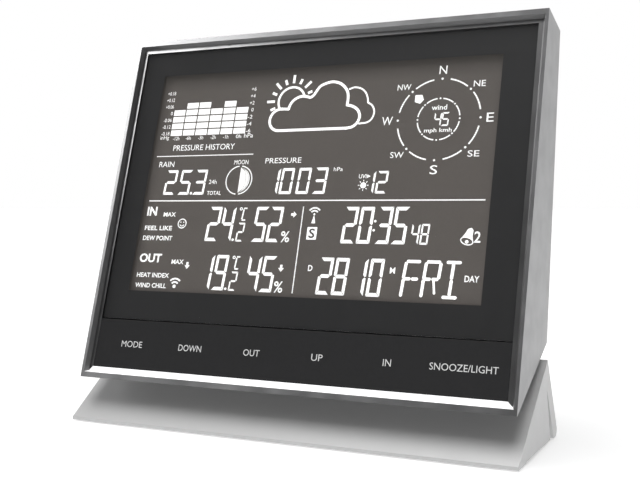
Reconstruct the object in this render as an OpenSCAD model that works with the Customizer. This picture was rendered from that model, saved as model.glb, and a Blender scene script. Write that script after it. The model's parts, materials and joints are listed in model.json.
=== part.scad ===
// Home weather station: a leaning display console on a plug-in tent-shaped stand.
// World frame: +X to the viewer's right, +Y away from the viewer, +Z up, table at Z = 0,
// origin under the middle of the bounding box. Inside the console the same axes are used
// before it is leaned back: X across the face, Y into the body, Z up the face.

/* [Console] */
// Width of the console's front face
face_w = 180; // [170:1:190]
// Height of the front face, measured along its slope
face_h = 147; // [145:0.5:150]
// Backward lean of the face from upright, in degrees
lean = 16.7; // [15:0.1:18]
// Height of the face's lower front edge above the table
face_lift = 17.7; // [17:0.1:20]
// Depth of the console at its top edge, square to the face
top_depth = 19; // [18.6:0.1:21]
// Depth of the console at its lower rear corner, square to the face
bottom_depth = 34.8; // [34.5:0.1:36]
// Height of the lower rear corner above the face's lower edge
corner_rise = 30.5; // [30:0.5:31]
// Thickness of the console's outer walls
wall = 1.8; // [1.6:0.1:2]

/* [Front frame] */
// Width of the flat rim at the sides of the face
rim_side = 1.3; // [1.2:0.1:1.5]
// Width of the flat rim along the top and bottom of the face
rim_top = 2.1; // [1.8:0.1:2.2]
// Width of the rim's inner slope
slope_w = 0.95; // [0.8:0.05:1]
// Depth of the groove at the foot of that slope
groove_depth = 2.05; // [2:0.05:2.2]
// Width of the bevelled ledge between groove and window
ledge_w = 1.65; // [1.5:0.05:1.7]
// Depth of the window's front surface behind the rim
window_inset = 1.85; // [1.8:0.05:1.95]

/* [Window and display] */
// Thickness of the window and of the touch panel
window_t = 2; // [1.8:0.1:2]
// Height of the touch panel under the window
touch_h = 20; // [19:0.5:21]
// Width of the joint between window and touch panel
seam_w = 0.3; // [0.2:0.1:0.4]
// Plain margin around the visible display area
margin = 11.8; // [11:0.1:12]
// Number of touch keys
key_count = 6; // [6]
// Distance between touch keys
key_pitch = 27.6; // [27:0.1:28]

/* [Battery bay] */
// Diameter of an AA cell
cell_d = 14.2; // [13.8:0.1:14.4]
// Length of an AA cell with its nub
cell_len = 50.5; // [50:0.1:50.5]
// Distance between the two rows of cells
row_pitch = 15.2; // [15:0.1:15.3]

/* [Stand] */
// Width of the stand
stand_w = 183; // [178:1:190]
// Distance from the face's centre forward to the stand's front edge
stand_reach = 24.3; // [24:0.1:25]
// Length of the sloping front plate, from its front edge to the ridge
plate_len = 50; // [49:0.5:51]
// Slope of the front plate above the table, in degrees
plate_slope = 36.2; // [35.5:0.1:36.5]
// Height of the front plate's front edge
toe_edge = 1.25; // [1:0.05:1.5]
// Slope of the rear leg from upright, in degrees
leg_slope = 29.7; // [29:0.1:30.5]
// Thickness of the rear leg
leg_t = 6; // [5.8:0.1:6.2]
// How far the rubber feet stand out under the stand
foot_gap = 0.5; // [0.4:0.1:0.6]

/* [Joints] */
// Play around each plug-in tongue
tongue_play = 0.3; // [0.25:0.05:0.35]
// Play around the battery door
door_play = 0.25; // [0.2:0.05:0.3]

/* [Hidden] */
$fn = 48;
cut = 0.01;

// Half sizes of the face and where the console stands in the world
half_w = face_w / 2;
half_h = face_h / 2;
rear_reach = top_depth * cos(lean) + half_h * sin(lean);
face_y = (stand_reach - rear_reach) / 2;
face_z = face_lift + half_h * cos(lean);

// Slopes of the console's back and of its underside, seen from the side
toe_y = 0.7;
corner_z = corner_rise - half_h;
back_tilt = atan((bottom_depth - top_depth) / (face_h - corner_rise));
back_len = (face_h - corner_rise) / cos(back_tilt);
under_tilt = atan(corner_rise / (bottom_depth - toe_y));
under_len = corner_rise / sin(under_tilt);

// Window opening in the frame, and the layers behind it
open_w = half_w - rim_side - slope_w - ledge_w;
open_h = half_h - rim_top - slope_w - ledge_w;
seam_z = touch_h - open_h;
window_back = window_inset + window_t;
tape_t = 0.3;
flange_back = window_back + tape_t;
chassis_t = 2;
chassis_back = flange_back + chassis_t;
view_w = open_w - margin;
view_top = open_h - margin;
view_bottom = seam_z + margin;

// Layers of the display, front to back
film_t = 0.2;
glass_t = 1.1;
glass_y = flange_back + 0.15 + film_t;
glass_w = view_w + 4.7;
glass_top = view_top + 6.8;
glass_bottom = view_bottom - 4.1;
rear_glass_top = glass_top - 4.4;
diffuser_y = glass_y + 2 * glass_t + film_t;
guide_y = diffuser_y + 0.3;
guide_t = 2.5;
reflector_y = guide_y + guide_t;
tray_y = reflector_y + film_t;
tray_t = 1.2;
tray_back = tray_y + tray_t;
tray_wall = 1.4;
pocket = 0.4;

// Main board behind the tray
board_t = 1.6;
board_y = tray_back + 0.6;
board_back = board_y + board_t;
board_bottom = 12.5;
board_top = glass_top - 0.2;
board_w = half_w - wall - 1.2;
boss_x = board_w - 2.8;
boss_r = 3.2;
cover_boss_z = [-38, 8, half_h - 6.3];
board_boss_z = [20, 56];
tray_ear_z = [-30, -2];

// Parts on and below the main board
antenna_x = -74;
antenna_z = 22;
antenna_r = 1.9;
buzzer_x = -45;
buzzer_z = 22;
ferrite_r = 4;
ferrite_y = 19.5;
ferrite_z = 3;
ferrite_len = 60;
coil_len = 24;
ribbon_x = -66;
ribbon_w = 12;

// Touch board behind the touch panel
touch_z = -open_h + touch_h / 2;
touch_board_y = chassis_back + 2.4;
touch_board_z = [touch_z - 3, touch_z + 11.5];
touch_screw_x = [-76, -key_pitch, key_pitch, 76];
touch_screw_z = touch_z + 8.3;

// Rear cover, measured square to the console's sloping back
cover_inset = 0.8;
cover_t = 2;
cover_play = 0.25;
cover_w = half_w - wall - cover_play;
door_t = 1.5;
cell_y = -cover_inset - door_t - 0.4 - cell_d / 2;
bay_floor = cell_y - cell_d / 2 - 0.2;
bay_wall = 1.4;
bay_half = cell_len + 3.6;
bay_out = bay_half + bay_wall;
bay_low = 4.6;
bay_high = bay_low + cell_d + row_pitch + 1;
row_z = [bay_low + 0.5 + cell_d / 2, bay_low + 0.5 + cell_d / 2 + row_pitch];
door_low = bay_low - bay_wall;
door_high = bay_high + bay_wall;
hinge_tab_x = 35;
screw_head_r = 2.8;
keyhole_x = 50;
keyhole_z = 96;
reset_x = 25;
reset_z = 40;
socket_x = 70;
socket_z = 50;
vent_x = -71;
vent_w = 8;
vent_z = 20;
vent_h = 1.4;
vent_pitch = 3;
sensor_w = 5;
sensor_y = -6.4;
sensor_z = [22, 36];
sound_r = 0.8;
sound_z = (buzzer_z - corner_z) / cos(back_tilt);

// Plug-in tongues between stand and console, along the underside
tongue_x = 45;
tongue_w = 26;
tongue_t = 3;
tongue_len = 9;
tongue_at = 29.5;

// Profile of the stand, from its front edge
ridge_y = plate_len * cos(plate_slope);
ridge_z = toe_edge + plate_len * sin(plate_slope);
skin = 2.6;
toe_len = 10.5;
gable_lift = 0.6;
leg_run = leg_t / cos(leg_slope);
leg_foot_y = ridge_y + ridge_z * tan(leg_slope);
slot_top = 20.7;
slot_apex_y = ridge_y + (ridge_z - slot_top) * tan(leg_slope) - leg_run;
gable_slope = 17.5;
leg_round = 2.5;
round_reach = leg_round / tan((90 - leg_slope) / 2);
rib_t = 1.6;
gusset = 6;
leg_bays = 6;

// Where the plate's underside meets the leg's inner face
skin_rise = skin / cos(plate_slope);
hollow_z = (toe_edge - skin_rise + (leg_foot_y - leg_run) * tan(plate_slope))
    / (1 + tan(leg_slope) * tan(plate_slope));
hollow_y = leg_foot_y - leg_run - hollow_z * tan(leg_slope);

// Rubber feet: half width, front and back of each pad, their spacing and recess
front_foot = [9, 2.4, 9];
rear_foot = [9, leg_foot_y - leg_run + 0.3, leg_foot_y - leg_run + 2.5];
foot_x = 74;
foot_depth = 1;

// The ridge seen along the console's underside: distance up the slope, and drop below it
under_slope = under_tilt - lean;
ridge_dy = ridge_y - stand_reach - toe_y * cos(lean) + half_h * sin(lean);
ridge_dz = ridge_z + foot_gap - face_z + toe_y * sin(lean) + half_h * cos(lean);
ridge_at = ridge_dy * cos(under_slope) + ridge_dz * sin(under_slope);
ridge_drop = ridge_dy * sin(under_slope) - ridge_dz * cos(under_slope);

// Height of the wedge between plate and underside, s up the slope
function gap_at(s) = ridge_drop + (ridge_at - s) * tan(plate_slope - under_slope);

// ---- helpers -------------------------------------------------------------

// Box between two opposite corners
module block(low, high) {
    translate(low)
        cube(high - low);
}

// Cylinder along Y from y0 to y1
module rod_y(r, y0, y1, x = 0, z = 0) {
    translate([x, y0, z])
        rotate([-90, 0, 0])
            cylinder(r = r, h = y1 - y0);
}

// Cylinder along X from x0 to x1
module rod_x(r, x0, x1, y = 0, z = 0) {
    translate([x0, y, z])
        rotate([0, 90, 0])
            cylinder(r = r, h = x1 - x0);
}

// Prism with a profile in Y and Z, centred on X
module prism_x(w, points) {
    translate([-w / 2, 0, 0])
        rotate([90, 0, 90])
            linear_extrude(w)
                polygon(points);
}

// Children and their mirror image across the middle
module mirrored() {
    children();
    mirror([1, 0, 0])
        children();
}

// Console frame to world frame
module console() {
    translate([0, face_y, face_z])
        rotate([-lean, 0, 0])
            children();
}

// Frame of the sloping back: Y outward, Z up the back from the lower rear corner
module on_back() {
    console()
        translate([0, bottom_depth, corner_z])
            rotate([back_tilt, 0, 0])
                children();
}

// Frame of the sloping underside: Y up the slope from the front edge, Z into the console
module on_underside() {
    console()
        translate([0, toe_y, -half_h])
            rotate([under_tilt, 0, 0])
                children();
}

// Frame of the stand: origin at its front edge
module on_stand() {
    translate([0, face_y - stand_reach, foot_gap])
        children();
}

// Depth of the console's back plane at height z of the console frame
function back_y(z) = bottom_depth - (z - corner_z) * tan(back_tilt);

// Points of a helix that opens from radius r0 to r1 along Y
function helix(turns, length, r0, r1, steps) = [
    for (i = [0 : turns * steps])
        let (f = i / (turns * steps), a = 360 * i / steps, r = r0 + (r1 - r0) * f)
            [r * cos(a), length * f, r * sin(a)]
];

// Round wire of few sides swept along a path
module wire(path, r, sides = 6) {
    last = len(path) - 1;
    function dir(i) = let (d = path[min(i + 1, last)] - path[max(i - 1, 0)]) d / norm(d);
    function side_of(d) = let (s = cross(d, abs(d.y) > 0.9 ? [1, 0, 0] : [0, 1, 0])) s / norm(s);
    rings = [
        for (i = [0 : last])
            let (d = dir(i), s = side_of(d), t = cross(d, s))
                for (k = [0 : sides - 1])
                    path[i] + r * (s * cos(360 * k / sides) + t * sin(360 * k / sides))
    ];
    walls = [
        for (i = [0 : last - 1])
            for (k = [0 : sides - 1])
                let (a = i * sides + k, b = i * sides + (k + 1) % sides)
                    each [[a, b, b + sides], [a, b + sides, a + sides]]
    ];
    start = [[for (k = [sides - 1 : -1 : 0]) k]];
    end = [[for (k = [0 : sides - 1]) last * sides + k]];
    polyhedron(rings, concat(start, walls, end), convexity = 10);
}

// Pan-head screw along Y, head towards +Y, thread end at y0
module screw(x, z, y0, head_y, shank_r, head_r, head_h) {
    translate([x, 0, z])
        difference() {
            union() {
                rod_y(shank_r, y0, head_y + cut);
                rod_y(head_r, head_y, head_y + head_h);
            }
            for (a = [0, 90])
                rotate([0, a, 0])
                    block([-head_r * 0.6, head_y + head_h - 0.8, -0.35],
                          [head_r * 0.6, head_y + head_h + 1, 0.35]);
        }
}

// ---- console shell -------------------------------------------------------

// Frustum that opens the face from the rim to the groove, less the bevelled ledge
module face_recess() {
    w0 = half_w - rim_side;
    h0 = half_h - rim_top;
    w1 = w0 - slope_w;
    h1 = h0 - slope_w;
    difference() {
        hull() {
            block([-w0 - slope_w / 2, -groove_depth / 2, -h0 - slope_w / 2],
                  [w0 + slope_w / 2, -groove_depth / 2 + cut, h0 + slope_w / 2]);
            block([-w1, groove_depth - cut, -h1], [w1, groove_depth, h1]);
        }
        hull() {
            block([-w1, groove_depth, -h1], [w1, groove_depth + cut, h1]);
            block([-open_w, window_inset, -open_h], [open_w, window_inset + cut, open_h]);
        }
    }
}

// Metal-look ring of rim and four deep walls, open at the front and the back
module outer_frame() {
    outline = [
        [0, -half_h], [0, half_h], [top_depth, half_h],
        [bottom_depth, corner_z], [toe_y, -half_h]
    ];
    lap = wall / cos(under_tilt);
    rise = tan(under_tilt);
    inside_front = -half_h + (flange_back - toe_y) * rise + lap;
    inside_back = -half_h + (bottom_depth + 5 - toe_y) * rise + lap;
    slot_half = tongue_w / 2 + tongue_play;
    room = [
        [flange_back, inside_front], [flange_back, half_h - wall],
        [bottom_depth + 5, half_h - wall], [bottom_depth + 5, inside_back]
    ];
    color("silver")
        difference() {
            console()
                difference() {
                    prism_x(face_w, outline);
                    prism_x(face_w - 2 * wall, room);
                    face_recess();
                    block([-open_w, -1, -open_h], [open_w, flange_back + cut, open_h]);
                }
            // Slots for the stand's tongues
            on_underside()
                mirrored()
                    block([tongue_x - slot_half, tongue_at - tongue_t / 2 - tongue_play, -1],
                          [tongue_x + slot_half, tongue_at + tongue_t / 2 + tongue_play, wall + 1]);
        }
}

// Tinted window over the display
module display_window() {
    color([0.2, 0.2, 0.21])
        console()
            block([-open_w + 0.05, window_inset, seam_z + seam_w / 2],
                  [open_w - 0.05, window_back, open_h - 0.05]);
}

// Separate strip under the window that carries the touch keys
module touch_panel() {
    color([0.18, 0.18, 0.19])
        console()
            block([-open_w + 0.05, window_inset, -open_h + 0.05],
                  [open_w - 0.05, window_back, seam_z - seam_w / 2]);
}

// Adhesive tape that bonds both panels to the chassis
module window_tape() {
    color([0.1, 0.1, 0.1])
        console()
            difference() {
                block([-open_w + 0.4, window_back, -open_h + 3.3],
                      [open_w - 0.4, flange_back, open_h - 0.4]);
                block([-glass_w - pocket, window_back - 1, glass_bottom - pocket],
                      [glass_w + pocket, flange_back + 1, glass_top + pocket]);
                for (i = [0 : key_count - 1])
                    rod_y(5.5, 0, flange_back + 1, (i - (key_count - 1) / 2) * key_pitch, touch_z);
            }
}

// ---- chassis and display -------------------------------------------------

// Moulded inner plate that carries the display, the boards and the cover's screw posts
module front_chassis() {
    low = -half_h + (chassis_back - toe_y) * tan(under_tilt) + wall / cos(under_tilt) + 0.3;
    pilot = 1;
    color([0.12, 0.12, 0.13])
        console()
            difference() {
                union() {
                    block([-half_w + wall + 0.2, flange_back, low],
                          [half_w - wall - 0.2, chassis_back, half_h - wall - 0.2]);
                    mirrored() {
                        for (z = cover_boss_z)
                            rod_y(boss_r, chassis_back - cut, back_y(z) - 7.6, boss_x, z);
                        for (z = board_boss_z)
                            rod_y(2.6, chassis_back - cut, board_y, boss_x, z);
                        for (z = tray_ear_z)
                            rod_y(2.6, chassis_back - cut, tray_y, boss_x, z);
                    }
                    for (x = touch_screw_x)
                        rod_y(2.4, chassis_back - cut, touch_board_y, x, touch_screw_z);
                }
                block([-glass_w - pocket, 0, glass_bottom - pocket],
                      [glass_w + pocket, chassis_back + 1, glass_top + pocket]);
                for (i = [0 : key_count - 1])
                    rod_y(5.5, 0, chassis_back + 1, (i - (key_count - 1) / 2) * key_pitch, touch_z);
                mirrored() {
                    for (z = cover_boss_z)
                        rod_y(pilot + 0.25, chassis_back + 0.5, back_y(z), boss_x, z);
                    for (z = board_boss_z)
                        rod_y(pilot, chassis_back + 0.5, board_y + 1, boss_x, z);
                    for (z = tray_ear_z)
                        rod_y(pilot, chassis_back - 1, tray_y + 1, boss_x, z);
                }
                for (x = touch_screw_x)
                    rod_y(0.8, chassis_back - 1, touch_board_y + 1, x, touch_screw_z);
            }
}

// One flat layer of the display
module layer(y, t, top, left = glass_w, inset = 0) {
    block([-left + inset, y, glass_bottom + inset], [glass_w - inset, y + t, top - inset]);
}

// Front polarizing film
module lcd_front_polarizer() {
    color([0.3, 0.29, 0.28])
        console()
            layer(glass_y - film_t, film_t, rear_glass_top, inset = 1);
}

// Front glass, with the contact ledge along its top edge
module lcd_front_glass() {
    color([0.7, 0.8, 0.8, 0.4])
        console()
            layer(glass_y, glass_t, glass_top);
}

// Rear glass
module lcd_rear_glass() {
    color([0.7, 0.8, 0.8, 0.4])
        console()
            layer(glass_y + glass_t, glass_t, rear_glass_top);
}

// Rear polarizing film
module lcd_rear_polarizer() {
    color([0.3, 0.29, 0.28])
        console()
            layer(glass_y + 2 * glass_t, film_t, rear_glass_top, inset = 1);
}

// Film that evens out the backlight
module diffuser_film() {
    color([0.95, 0.95, 0.95])
        console()
            layer(diffuser_y, 0.3, rear_glass_top, left = glass_w - 2.3);
}

// Acrylic plate that spreads the light of the LEDs
module light_guide() {
    color([0.9, 0.95, 0.95, 0.6])
        console()
            layer(guide_y, guide_t, rear_glass_top, left = glass_w - 2.3);
}

// White film behind the light guide
module reflector_film() {
    color([0.97, 0.97, 0.97])
        console()
            layer(reflector_y, film_t, rear_glass_top, left = glass_w - 2.3);
}

// Narrow circuit strip along the light guide's left edge
module backlight_board() {
    color([0.85, 0.85, 0.8])
        console()
            block([-glass_w - 0.1, diffuser_y, glass_bottom + 3],
                  [-glass_w + 0.9, tray_y - 0.05, rear_glass_top - 3]);
}

// White LEDs that shine into the light guide
module backlight_leds() {
    led_count = 6;
    span = rear_glass_top - glass_bottom - 20;
    color([0.95, 0.9, 0.6])
        console()
            for (i = [0 : led_count - 1])
                translate([-glass_w + 0.9, guide_y + 0.25, glass_bottom + 10 + i * span / (led_count - 1)])
                    block([0, 0, -1.75], [1.3, 2, 1.75]);
}

// White tray that holds the display against the chassis
module lcd_tray() {
    w = glass_w + pocket;
    color([0.92, 0.92, 0.9])
        console()
            difference() {
                union() {
                    block([-w - tray_wall, chassis_back, glass_bottom - pocket - tray_wall],
                          [w + tray_wall, tray_back, glass_top + 0.5]);
                    mirrored()
                        for (z = tray_ear_z)
                            block([w, tray_y, z - 3.5], [boss_x + 3, tray_back, z + 3.5]);
                }
                block([-w, 0, glass_bottom - pocket], [w, tray_y, rear_glass_top + 0.2]);
                block([-w, 0, rear_glass_top + 0.8], [w, tray_back + 1, glass_top + 2]);
                block([-w, 0, rear_glass_top], [w, glass_y + 2 * glass_t + film_t, glass_top + 2]);
                mirrored()
                    for (z = tray_ear_z)
                        rod_y(1.3, tray_y - 1, tray_back + 1, boss_x, z);
            }
}

// Striped rubber strip that joins the glass contacts to the main board
module elastomer_strip() {
    color([0.35, 0.2, 0.2])
        console()
            block([-60, glass_y + glass_t, rear_glass_top + 1.1],
                  [60, board_y, glass_top - 0.6]);
}

// ---- electronics ---------------------------------------------------------

// Main circuit board
module main_board() {
    color([0.1, 0.4, 0.2])
        console()
            difference() {
                block([-board_w, board_y, board_bottom], [board_w, board_back, board_top]);
                mirrored() {
                    for (z = board_boss_z)
                        rod_y(1.3, board_y - 1, board_back + 1, boss_x, z);
                    rod_y(boss_r + 0.5, board_y - 1, board_back + 1, boss_x, cover_boss_z[2]);
                }
            }
}

// Resin-covered controller, memory and clock crystal
module main_board_chips() {
    color([0.07, 0.07, 0.08])
        console()
            intersection() {
                union() {
                    translate([0, board_back - 11, 40])
                        sphere(r = 13);
                    block([-31, board_back - cut, 46], [-22, board_back + 1.6, 52]);
                    block([-30, board_back - cut, 30], [-24, board_back + 1.5, 37]);
                    rod_x(1.5, -16, -8, board_back + 1.5, 22);
                }
                block([-40, board_back, 0], [40, board_back + 4, 70]);
            }
}

// Upright smoothing capacitors of the supply
module main_board_capacitors() {
    color([0.15, 0.2, 0.45])
        console()
            for (x = [58, 66])
                rod_y(3, board_back, board_back + 5, x, 20);
}

// Small receiver board for the outdoor sensor
module radio_module() {
    color([0.1, 0.25, 0.5])
        console() {
            block([-76, board_back + 1, 34], [-56, board_back + 2, 48]);
            block([-75, board_back, 34.5], [-57, board_back + 1 + cut, 36.5]);
            block([-70, board_back + 2 - cut, 39], [-63, board_back + 3.2, 45]);
        }
}

// Coiled wire aerial of the receiver
module radio_antenna() {
    color([0.8, 0.5, 0.2])
        console()
            translate([antenna_x, board_back + antenna_r + 0.7, antenna_z])
                rotate([90, 0, 0])
                    wire(helix(5, 10, antenna_r, antenna_r, 12), 0.35, 6);
}

// Ferrite rod of the time-signal receiver
module ferrite_rod() {
    color([0.2, 0.2, 0.22])
        console()
            rod_x(ferrite_r, -ferrite_len / 2, ferrite_len / 2, ferrite_y, ferrite_z);
}

// Copper winding on the ferrite rod
module ferrite_coil() {
    color([0.7, 0.4, 0.15])
        console()
            difference() {
                rod_x(ferrite_r + 1.2, -coil_len / 2, coil_len / 2, ferrite_y, ferrite_z);
                rod_x(ferrite_r + 0.05, -coil_len, coil_len, ferrite_y, ferrite_z);
            }
}

// Air-pressure sensor in its metal can
module pressure_sensor() {
    color("lightgray")
        console()
            difference() {
                block([34, board_back, 24], [39, board_back + 1.8, 29]);
                rod_y(0.5, board_back + 1, board_back + 3, 37.5, 27.5);
            }
}

// Indoor temperature and humidity sensor behind the cover's vents
module humidity_sensor() {
    case_y = sensor_y + 1.2;
    color([0.9, 0.9, 0.92])
        on_back()
            difference() {
                union() {
                    block([vent_x - sensor_w, sensor_y, sensor_z[0]],
                          [vent_x + sensor_w, case_y, sensor_z[1]]);
                    block([vent_x - sensor_w + 1, case_y - cut, sensor_z[0] + 2],
                          [vent_x + sensor_w - 1, case_y + 1.6, sensor_z[1] - 2]);
                }
                for (i = [0 : 2])
                    block([vent_x - 3, case_y + 0.8, sensor_z[0] + 3.4 + 2.5 * i],
                          [vent_x + 3, case_y + 2.2, sensor_z[0] + 4.6 + 2.5 * i]);
            }
}

// Alarm buzzer
module buzzer() {
    color([0.08, 0.08, 0.08])
        console()
            difference() {
                rod_y(6, board_back, board_back + 5.5, buzzer_x, buzzer_z);
                rod_y(1, board_back + 4, board_back + 7, buzzer_x, buzzer_z);
            }
}

// Circuit board with the touch electronics
module touch_board() {
    color([0.1, 0.4, 0.2])
        console()
            difference() {
                block([-80, touch_board_y, touch_board_z[0]],
                      [80, touch_board_y + board_t, touch_board_z[1]]);
                for (x = touch_screw_x)
                    rod_y(1.2, touch_board_y - 1, touch_board_y + 4, x, touch_screw_z);
            }
}

// Springs that carry each key's touch field to the panel's back
module touch_springs() {
    color([0.85, 0.75, 0.4])
        console()
            for (i = [0 : key_count - 1])
                translate([(i - (key_count - 1) / 2) * key_pitch, window_back + 0.45, touch_z])
                    wire(helix(3, touch_board_y - window_back - 0.75, 4.6, 3, 14), 0.3, 5);
}

// Flat cable from the main board down to the touch board
module ribbon_cable() {
    t = 0.5;
    low = touch_board_y + board_t;
    color([0.75, 0.75, 0.78])
        console()
            translate([ribbon_x, 0, 0])
                prism_x(ribbon_w, [
                    [board_back, 17], [board_back + t, 17], [board_back + t, 11.4], [tray_back + 0.9, 8],
                    [tray_back + 0.9, -43], [low + t, -47.5], [low + t, -51], [low, -51],
                    [low, -47.3], [tray_back + 0.4, -43], [tray_back + 0.4, 8.2], [board_back, 11.6]
                ]);
}

// Housing of the reset switch on the main board
module reset_switch() {
    color([0.6, 0.6, 0.62])
        console()
            difference() {
                block([reset_x - 3, board_back, reset_z - 3], [reset_x + 3, board_back + 2.4, reset_z + 3]);
                rod_y(1.35, board_back + 0.6, board_back + 4, reset_x, reset_z);
            }
}

// Plunger of the reset switch, reached with a pen tip through the cover
module reset_button() {
    color([0.15, 0.15, 0.15])
        console() {
            rod_y(1.3, board_back + 1.2, back_y(reset_z) - 2.2, reset_x, reset_z);
            rod_y(2.2, board_back + 3.2, board_back + 4.2, reset_x, reset_z);
        }
}

// ---- rear cover and battery bay -----------------------------------------

// Keyhole for a wall screw: round entry and a narrow slot above it
module keyhole() {
    rod_y(4.5, -cover_inset - cover_t - 1, 1, 0, 0);
    rod_y(2.25, -cover_inset - cover_t - 1, 1, 0, 7);
    block([-2.25, -cover_inset - cover_t - 1, 0], [2.25, 1, 7]);
}

// Outside of the battery bay
module bay_block() {
    block([-bay_out, bay_floor - 1.2, door_low], [bay_out, -cover_inset - door_t - 0.1, door_high]);
}

// Back of the console: plate, battery bay, screw tubes, vents and wall keyholes
module rear_cover() {
    plate_low = 2.2;
    plate_high = back_len - wall / cos(back_tilt) - 0.5;
    plate_in = -cover_inset - cover_t;
    collar = 2;
    collar_y = plate_in - 3.2;
    lip_t = 1.4;
    lip_h = 2.2;
    lip_gap = 12;
    tab_room = 4.6;
    color([0.25, 0.25, 0.27])
        difference() {
            union() {
                on_back() {
                    block([-cover_w, plate_in, plate_low], [cover_w, -cover_inset, plate_high]);
                    bay_block();
                    block([-bay_out - collar, collar_y, plate_low],
                          [bay_out + collar, plate_in + cut, door_high + collar]);
                    // Lips that locate the cover between the side walls
                    mirrored()
                        block([cover_w - lip_t, plate_in - lip_h, plate_low + lip_gap],
                              [cover_w, -cover_inset - 1, plate_high - lip_gap]);
                    // Rails that hold the humidity sensor
                    for (x = [vent_x - sensor_w - 2, vent_x + sensor_w])
                        block([x, sensor_y, sensor_z[0]], [x + 2, -cover_inset - 1, sensor_z[1]]);
                }
                console()
                    mirrored()
                        for (z = cover_boss_z)
                            rod_y(3.6, back_y(z) - 7.5, back_y(z) - 1.6, boss_x, z);
            }
            on_back() {
                // Cell trough, open towards the door
                block([-bay_half, bay_floor, bay_low], [bay_half, 1, bay_high]);
                // Seat of the door
                block([-bay_out - door_play, -cover_inset - door_t - 0.1, door_low - door_play],
                      [bay_out + door_play, 1, door_high + door_play]);
                // Room for the door's hinge tabs, behind the plate and through the bay's wall
                mirrored() {
                    block([hinge_tab_x - tab_room, collar_y - cut, bay_high - 0.5],
                          [hinge_tab_x + tab_room, plate_in, door_high + collar + 0.6]);
                    block([hinge_tab_x - tab_room, plate_in - cut, bay_high - 0.5],
                          [hinge_tab_x + tab_room, -cover_inset - door_t, door_high + door_play]);
                }
                // Wall keyholes, socket hole and sensor vents
                for (x = [-keyhole_x, keyhole_x])
                    translate([x, 0, keyhole_z])
                        keyhole();
                rod_y(4.1, -10, 1, socket_x, socket_z);
                for (z = [vent_z : vent_pitch : vent_z + 6 * vent_pitch])
                    block([vent_x - vent_w, plate_in - 1, z], [vent_x + vent_w, 1, z + vent_h]);
                // Sound holes over the buzzer
                for (a = [0 : 60 : 300])
                    rod_y(sound_r, -4, 1, buzzer_x + 4 * sound_r * cos(a), sound_z + 4 * sound_r * sin(a));
                rod_y(sound_r, -4, 1, buzzer_x, sound_z);
            }
            console() {
                mirrored()
                    for (z = cover_boss_z) {
                        rod_y(1.7, 5, bottom_depth + 5, boss_x, z);
                        rod_y(screw_head_r + 0.4, back_y(z) - 5.5, bottom_depth + 5, boss_x, z);
                    }
                rod_y(1.6, back_y(reset_z) - 6, bottom_depth, reset_x, reset_z);
            }
        }
}

// Door of the battery bay: it turns about its round top edge, held by two hooked tabs
module battery_door() {
    in_y = -cover_inset - door_t;
    edge_r = door_t / 2;
    tab_w = 4;
    ridge_w = 9;
    finger = 10;
    color([0.25, 0.25, 0.27])
        on_back()
            difference() {
                union() {
                    block([-bay_out, in_y, door_low], [bay_out, -cover_inset, door_high - edge_r]);
                    rod_x(edge_r, -bay_out, bay_out, in_y + edge_r, door_high - edge_r);
                    // Grip ridges beside the latch
                    for (i = [0 : 3])
                        block([-ridge_w, -cover_inset - cut, door_low + 3 + 1.6 * i],
                              [ridge_w, -cover_inset + 0.4, door_low + 3.8 + 1.6 * i]);
                    // Tabs hooked behind the plate
                    mirrored() {
                        block([hinge_tab_x - tab_w, in_y - 2, bay_high - 0.3],
                              [hinge_tab_x + tab_w, in_y + edge_r, door_high - edge_r]);
                        block([hinge_tab_x - tab_w, in_y - 2, door_high - edge_r - cut],
                              [hinge_tab_x + tab_w, in_y - 0.2, bay_high + 1.2]);
                        block([hinge_tab_x - tab_w, in_y - 2, bay_high + 1.2 - cut],
                              [hinge_tab_x + tab_w, in_y - 0.8, door_high + 1.9]);
                    }
                }
                // Cuts that free the latch finger
                for (x = [-finger - 1, finger])
                    block([x, in_y - 1, door_low - 1], [x + 1, 1, door_low + finger]);
            }
}

// One AA cell along X, nub towards +X, starting at x0
module cell(x0, z) {
    rod_x(cell_d / 2, x0, x0 + cell_len - 1.3, cell_y, z);
    rod_x(2.6, x0 + cell_len - 1.3 - cut, x0 + cell_len - 0.02, cell_y, z);
}

// Four cells, two end to end in each row, the rows facing opposite ways
module battery_cells() {
    start = bay_half - 0.6 - 2 * cell_len;
    color([0.2, 0.3, 0.5])
        on_back() {
            for (i = [0, 1])
                cell(start + i * cell_len, row_z[0]);
            mirror([1, 0, 0])
                for (i = [0, 1])
                    cell(start + i * cell_len, row_z[1]);
        }
}

// Conical springs at the cells' flat ends
module contact_springs() {
    color([0.75, 0.75, 0.72])
        on_back()
            for (s = [0, 1])
                translate([(2 * s - 1) * (bay_half - 0.9), cell_y, row_z[s]])
                    rotate([0, 0, s == 0 ? -90 : 90])
                        wire(helix(4, 5, 4.6, 2.4, 14), 0.35, 6);
}

// Nickel plates behind the springs and at the nubs
module contact_plates() {
    color([0.75, 0.75, 0.72])
        on_back() {
            for (z = row_z)
                block([-bay_half, cell_y - 5.5, z - 5.5], [-bay_half + 0.45, cell_y + 5.5, z + 5.5]);
            block([bay_half - 0.5, cell_y - 5.5, row_z[0] - 5.5], [bay_half, cell_y + 5.5, row_z[1] + 5.5]);
        }
}

// Panel socket for the mains adapter
module dc_socket() {
    color([0.1, 0.1, 0.1])
        on_back()
            translate([socket_x, 0, socket_z]) {
                difference() {
                    union() {
                        rod_y(4, -9, -cover_inset + 0.3);
                        rod_y(5.4, -cover_inset + 0.02, -cover_inset + 0.5);
                        rod_y(5, -12.5, -8);
                    }
                    rod_y(2.9, -9.5, 1);
                }
                rod_y(1, -9.6, -1.6);
            }
}

// Nut that clamps the socket in the cover
module dc_socket_nut() {
    color("silver")
        on_back()
            translate([socket_x, 0, socket_z])
                difference() {
                    rotate([90, 0, 0])
                        translate([0, 0, cover_inset + cover_t])
                            cylinder(r = 6.2, h = 2, $fn = 6);
                    rod_y(4.02, -8, 0);
                }
}

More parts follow.
